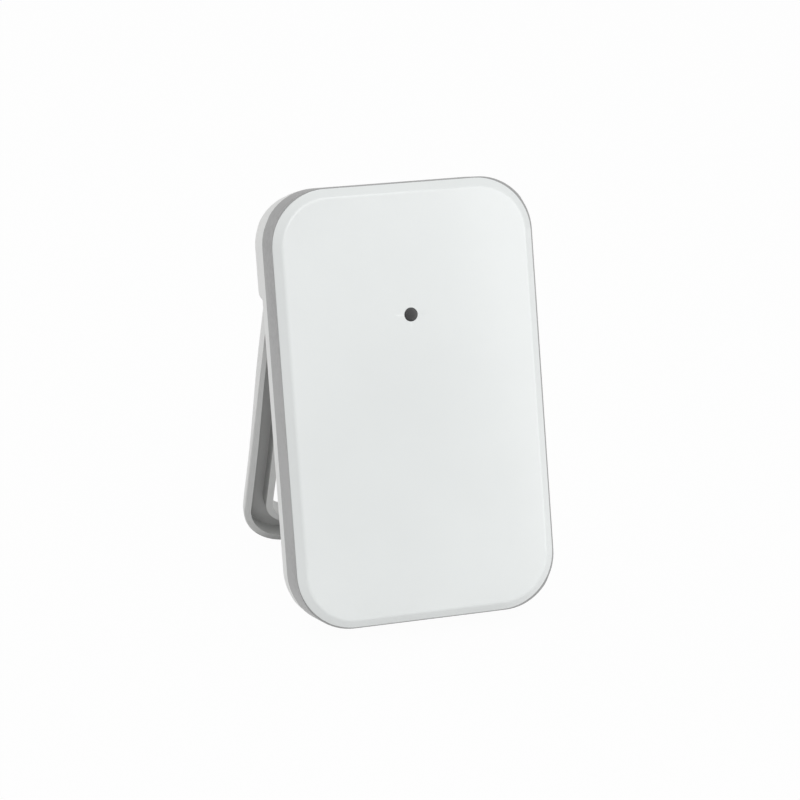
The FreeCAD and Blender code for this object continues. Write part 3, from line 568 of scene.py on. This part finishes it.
outline_half, outline_corner = (half_width - side_trim, half_height), 13.2
panel_inset, panel_edge, panel_bevel, panel_depth = 0.2, 0.3, 1.9, 1.9
foot_reach, crest_radius = 0.22, 1.2
panel_offset, window_height = -0.12, 20.1
lens_radius, lens_flange, lens_step, lens_gap = 1.55, 2.15, 0.67, 0.03
lens_rim, lens_dome, lens_sides = 0.12, 0.03, 64


def rim_profile():
    """Stations (inset, depth) from the back face outwards and up the side, over the small round
    at the bevel's foot, the bevel and the round of its crest, to the front face."""
    back_inset, front_insets = 6.0, (4.5, 8.0)
    slope = math.atan2(panel_depth - panel_edge, panel_bevel)
    foot = arc_points(
        (panel_inset, foot_reach - panel_edge), (panel_inset, -panel_edge),
        (panel_inset + foot_reach * math.cos(slope), -panel_edge - foot_reach * math.sin(slope)),
        steps=5)
    reach = crest_radius * math.tan(slope / 2)
    top = panel_inset + panel_bevel
    crest = arc_points(
        (top - reach * math.cos(slope), reach * math.sin(slope) - panel_depth), (top, -panel_depth),
        (top + reach, -panel_depth), steps=12)
    front = [(inset, -panel_depth) for inset in front_insets]
    return [(back_inset, 0.0), (panel_inset, 0.0), *foot, *crest, *front]


def hole_profiles():
    """Stations (radius, depth) of the window's stepped hole: from the step through the
    flange's pocket to the back face, and from the front face over a small round to the step.
    The round is one point, a share of its size away from both faces."""
    hole, pocket, step = lens_radius + lens_gap, lens_flange + lens_gap, lens_step + lens_gap
    face_radius, pocket_chamfer, hole_round, round_share = 4.0, 0.05, 0.06, 0.3
    halfway = round_share * hole_round
    back = [(pocket, -step), (pocket, -pocket_chamfer), (pocket + pocket_chamfer, 0.0),
            (face_radius, 0.0)]
    front = [(face_radius, -panel_depth), (hole + hole_round, -panel_depth),
             (hole + halfway, halfway - panel_depth), (hole, hole_round - panel_depth), (hole, -step)]
    return back, front


def panel_ring(outline, depth):
    """Outline (x, z) set at a depth and moved sideways with the panel."""
    return np.column_stack([outline[:, 0] + panel_offset, np.full(len(outline), depth), outline[:, 1]])


def front_panel():
    """Rings along the profiles: circles round the window, rounded rectangles at each inset."""
    back, front = hole_profiles()
    rings = [panel_ring(round_ring(0.0, window_height, radius), depth) for radius, depth in back]
    for inset, depth in rim_profile():
        outline = rounded_ring(outline_half[0] - inset, outline_half[1] - inset, outline_corner - inset)
        rings.append(panel_ring(outline, depth))
    rings += [panel_ring(round_ring(0.0, window_height, radius), depth) for radius, depth in front]
    faces = grid_faces(len(rings), len(rings[0]), closed_rows=True)
    piece = mesh_piece("panel_cover", placed(np.concatenate(rings)), faces, crease=32.0)
    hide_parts("front_panel")
    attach(piece, "casing")
    dress(piece, "panel_white")


def lens_profile():
    """Stations (radius, depth) from the middle of the flange's back outwards, up the straight
    side, over a small round rim and inwards over a face that is domed by a parabola."""
    face = lens_dome - panel_depth
    profile = [(0.0, 0.0), (lens_flange, 0.0), (lens_flange, -lens_step), (lens_radius, -lens_step)]
    profile += quarter((lens_radius - lens_rim, face + lens_rim), lens_rim, -lens_rim, 0.0, steps=4)
    profile += [(lens_radius * k, face - lens_dome * (1 - k * k)) for k in (0.75, 0.5, 0.25)]
    return profile + [(0.0, -panel_depth)]


def light_lens():
    """Lens profile turned about the window's middle, with a fan of triangles at each pole."""
    r, y = np.array(lens_profile()).T
    angle = np.linspace(0.0, 2 * math.pi, lens_sides, endpoint=False)
    x = np.outer(r[1:-1], np.cos(angle))
    z = window_height + np.outer(r[1:-1], np.sin(angle))
    depth = np.repeat(y[1:-1, None], lens_sides, 1)
    points = np.stack([x, depth, z], -1).reshape(-1, 3)
    points = np.vstack([points, [[0, y[0], window_height], [0, y[-1], window_height]]])
    points += (panel_offset, 0.0, 0.0)
    rows = len(x)
    faces = [face[::-1] for face in grid_faces(rows, lens_sides)]
    back, front, last = rows * lens_sides, rows * lens_sides + 1, (rows - 1) * lens_sides
    for i in range(lens_sides):
        j = (i + 1) % lens_sides
        faces.append([back, i, j])
        faces.append([front, last + j, last + i])
    piece = mesh_piece("window_lens", placed(points), faces, crease=40.0)
    face_outwards(piece.data)
    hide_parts("light_window")
    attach(piece, "casing")
    dress(piece, "window_dark")


# The stand: the arms' tops are the part's own, and below them one channel section is swept
# round the loop. It is worked out folded and upright. What changes down the arm is a pair: its
# size at the arm's top, and its size in the loop.

loop_top, run_end = 12.0, -24.0
loop_low, loop_corner, foot_width = -49.1, 12.2, 8.2
loop_front, loop_back, web_thickness = 14.6, 19.8, 1.6
arm_half, arm_width, arm_wall = (29.95, 29.85), (6.05, 7.0), (1.15, 1.65)
front_round, inner_round = (0.02, 0.4), (1.0, 0.6)
outer_round_across, outer_round_along = (2.0, 2.5), (2.0, 4.7)
arm_rows, corner_rows = 10, 25


def grown(pair, share):
    """Size at a place between the arm's top (share 0) and the loop (share 1)."""
    return pair[0] + (pair[1] - pair[0]) * share


def channel_section(share):
    """Section (inset from the outer side, depth): small round at the front, then the channel,
    then the rounded back edges, of which the outer one is drawn out along the side."""
    width, wall, rim = grown(arm_width, share), grown(arm_wall, share), grown(front_round, share)
    inner, outer = grown(inner_round, share), grown(outer_round_across, share)
    side = grown(outer_round_along, share)
    web = loop_back - web_thickness
    section = quarter((rim, loop_front + rim), rim, rim, math.pi, steps=5)
    section += [(wall, loop_front), (wall, web)]
    section += [(width - wall, web), (width - wall, loop_front), (width, loop_front)]
    section += quarter((width - inner, loop_back - inner), inner, inner, 0.0, steps=5)
    section += quarter((outer, loop_back - side), outer, side, math.pi / 2, steps=12)
    return np.array(section)


def loop_rows():
    """Sections down the left arm, where the width grows over a soft run (3t^2 - 2t^3), then
    round the corner: circles about one middle, drawn in more at the foot than at the side."""
    rows = []
    for height in np.linspace(loop_top, run_end, arm_rows):
        t = (loop_top - height) / (loop_top - run_end)
        share = t * t * (3.0 - 2.0 * t)
        inset, depth = channel_section(share).T
        x = inset - grown(arm_half, share)
        rows.append(np.column_stack([x, depth, np.full(len(inset), height)]))
    inset, depth = channel_section(1.0).T
    width = arm_width[1]
    radius = loop_corner - inset
    foot = inset + np.where(inset > width / 2, foot_width - width, 0.0)
    for angle in np.linspace(math.pi, 1.5 * math.pi, corner_rows):
        x = loop_corner - arm_half[1] + radius * math.cos(angle)
        z = loop_low + foot + radius * (1.0 + math.sin(angle))
        rows.append(np.column_stack([x, depth, z]))
    return rows


def swept_loop():
    """Mesh of the loop, open on the table: the left side's rows and their mirror image as one
    grid, with a face over each of its ends."""
    rows = loop_rows()
    rows += [row * (-1.0, 1.0, 1.0) for row in rows[::-1]]
    points = placed(opened(np.concatenate(rows)))
    count = len(rows[0])
    faces = grid_faces(len(rows), count)
    faces += [list(range(count)), list(range(len(points) - count, len(points)))]
    return mesh_data("loop", points, faces)


def sweep_loop(piece):
    """Cuts the stand below the arms' tops and puts the swept loop in the place of the rest."""
    loop = swept_loop()
    level, above = placed(opened(np.array([[0.0, 0.0, loop_top], [0.0, 0.0, loop_top + 1.0]])))
    bm = bmesh.new()
    bm.from_mesh(piece.data)
    bmesh.ops.bisect_plane(bm, geom=bm.verts[:] + bm.edges[:] + bm.faces[:], dist=merge_step / 2,
                           plane_co=level, plane_no=above - level, clear_inner=True)
    bmesh.ops.holes_fill(bm, edges=[edge for edge in bm.edges if edge.is_boundary])
    bm.from_mesh(loop)
    bm.to_mesh(piece.data)
    bm.free()
    bpy.data.meshes.remove(loop)
    face_outwards(piece.data)
    piece.modifiers.clear()
    shade(piece)


# All pieces: the two new ones, smooth copies of what is round or trimmed, and the rest as it is

trimmed_nodes = ("front_frame", "rear_shell", "stand")
# The stand gets the shell's white painted darker, as painted shade, in place of its own slot.
own_looks = {"stand": "shaded_stand_white"}

front_panel()
light_lens()

for node, name, body, slot in (
    ("front_frame", "frame_tray", "casing", "frame_grey"),
    ("rear_shell", "back_shell", "casing", "shell_white"),
    ("battery_door", "door_cover", "battery_door", "shell_white"),
    ("stand", "stand_loop", "stand", "shell_white"),
    ("battery_left", "left_cell", "casing", "cell_jacket"),
    ("battery_right", "right_cell", "casing", "cell_jacket"),
    ("shell_screws", "back_screws", "casing", "screw_steel"),
    ("button_plunger", "round_plunger", "button_plunger", "control_black"),
    ("storage_capacitor", "round_capacitor", "casing", "capacitor_sleeve"),
    ("antenna_coil", "wound_antenna", "casing", "antenna_copper"),
    ("upper_battery_spring", "upper_coil", "casing", "contact_nickel"),
    ("lower_battery_spring", "lower_coil", "casing", "contact_nickel"),
):
    copy = moulded_copy(node, name, fitted=trimmed if node in trimmed_nodes else None)
    if node == "stand":
        sweep_loop(copy)
    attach(copy, body)
    dress(copy, own_looks.get(node, slot))

slots = {part["node"]: part["material_slot"] for part in frame["record"]["subparts"]}
for node, thing in frame["nodes"].items():
    dress(thing, slots[node])


# Floor, light and camera

def seen_by(nodes, links, *rays):
    """1 for a ray of one of the named kinds, otherwise 0: the largest of the ray's marks."""
    path = nodes.new("ShaderNodeLightPath")
    share = path.outputs[rays[0]]
    for ray in rays[1:]:
        share = maths(nodes, links, "MAXIMUM", share, path.outputs[ray])
    return share


def swap(nodes, links, share, usual, shown, output):
    """Surface that is the usual shader, and by the given share the shown one."""
    mix = nodes.new("ShaderNodeMixShader")
    links.new(share, mix.inputs[0])
    links.new(usual.outputs[0], mix.inputs[1])
    links.new(shown.outputs[0], mix.inputs[2])
    links.new(mix.outputs[0], nodes[output].inputs["Surface"])


def floor():
    """Round pale table, large enough to fill every view, just under what stands on it. It
    shows almost white and lights the object as a pale grey."""
    table_radius, table_sides, table_level = 1.6, 96, -0.02 * MM
    table_grey, shown_share = 0.66, 0.97
    angle = np.linspace(0.0, 2 * math.pi, table_sides, endpoint=False)
    points = np.column_stack([table_radius * np.cos(angle), table_radius * np.sin(angle),
                              np.full(table_sides, table_level)])
    table = linked("table_top", mesh_data("table_top", points, [list(range(table_sides))]))
    material, nodes, links, shader = new_material("pale_table")
    shader.inputs["Base Color"].default_value = (table_grey, table_grey, table_grey, 1.0)
    shader.inputs["Roughness"].default_value = 0.9
    shader.inputs["Specular IOR Level"].default_value = 0.1
    glow = nodes.new("ShaderNodeEmission")
    glow.inputs["Strength"].default_value = 1.0
    seen = seen_by(nodes, links, "Is Camera Ray", "Is Glossy Ray", "Is Transmission Ray")
    share = maths(nodes, links, "MULTIPLY", seen, shown_share)
    swap(nodes, links, share, shader, glow, "Material Output")
    table.data.materials.append(material)


def studio():
    """World that lights softly, and shows white to the camera and through clear pieces."""
    white, soft_strength = (1.0, 1.0, 1.0, 1.0), 0.58
    world = bpy.data.worlds.new("studio")
    bpy.context.scene.world = world
    world.use_nodes = True
    nodes, links = world.node_tree.nodes, world.node_tree.links
    soft = nodes["Background"]
    shown = nodes.new("ShaderNodeBackground")
    for background, strength in ((soft, soft_strength), (shown, 1.0)):
        background.inputs["Color"].default_value = white
        background.inputs["Strength"].default_value = strength
    seen = seen_by(nodes, links, "Is Camera Ray", "Is Transmission Ray")
    swap(nodes, links, seen, soft, shown, "World Output")


def lamp(name, place, size, power):
    """Square soft lamp that looks at the middle of the sensor."""
    aim = Vector((0.0, 0.0, 0.05))
    light = bpy.data.lights.new(name, "AREA")
    light.shape = "SQUARE"
    light.size = size
    light.energy = power
    holder = linked(name, light)
    holder.location = place
    holder.rotation_euler = (aim - Vector(place)).to_track_quat("-Z", "Y").to_euler()


def camera():
    """Camera fitted to the photograph. In the body's own frame it looks 16.8 degrees to the
    right of straight back and 5.3 degrees down, with its right side 4.1 degrees low. The
    middle of the frame's front lies at stand_off from it: millimetres right, ahead and up."""
    yaw, pitch, roll = (math.radians(degrees) for degrees in (16.8, 5.257, -4.121))
    stand_off = np.array([3.498, 620.7, -0.499])
    focal_pixels, picture_pixels, sensor_width = 2729.5, 800.0, 36.0
    view = turned_about(1, roll) @ turned_about(0, pitch) @ turned_about(2, yaw)
    eye = -(view.T @ stand_off)
    right, forward, up = view @ turn.T
    data = bpy.data.cameras.new("front_view")
    data.sensor_width = sensor_width
    data.lens = focal_pixels * sensor_width / picture_pixels
    holder = linked("front_view", data)
    axes = np.column_stack([right, up, -forward, placed(eye)])
    holder.matrix_world = Matrix(np.vstack([axes, [0.0, 0.0, 0.0, 1.0]]).tolist())
    bpy.context.scene.camera = holder


floor()
studio()
lamp("key_front", place=(-0.05, -1.1, 0.95), size=1.0, power=5.1)
lamp("sheen_right", place=(0.76, -1.0, 0.4), size=0.8, power=4.0)
lamp("back_left", place=(-0.8, 0.45, 0.45), size=0.6, power=1.5)
lamp("top_back", place=(-0.1, 0.5, 0.8), size=0.6, power=1.0)
camera()
bpy.context.scene.view_settings.view_transform = "Standard"
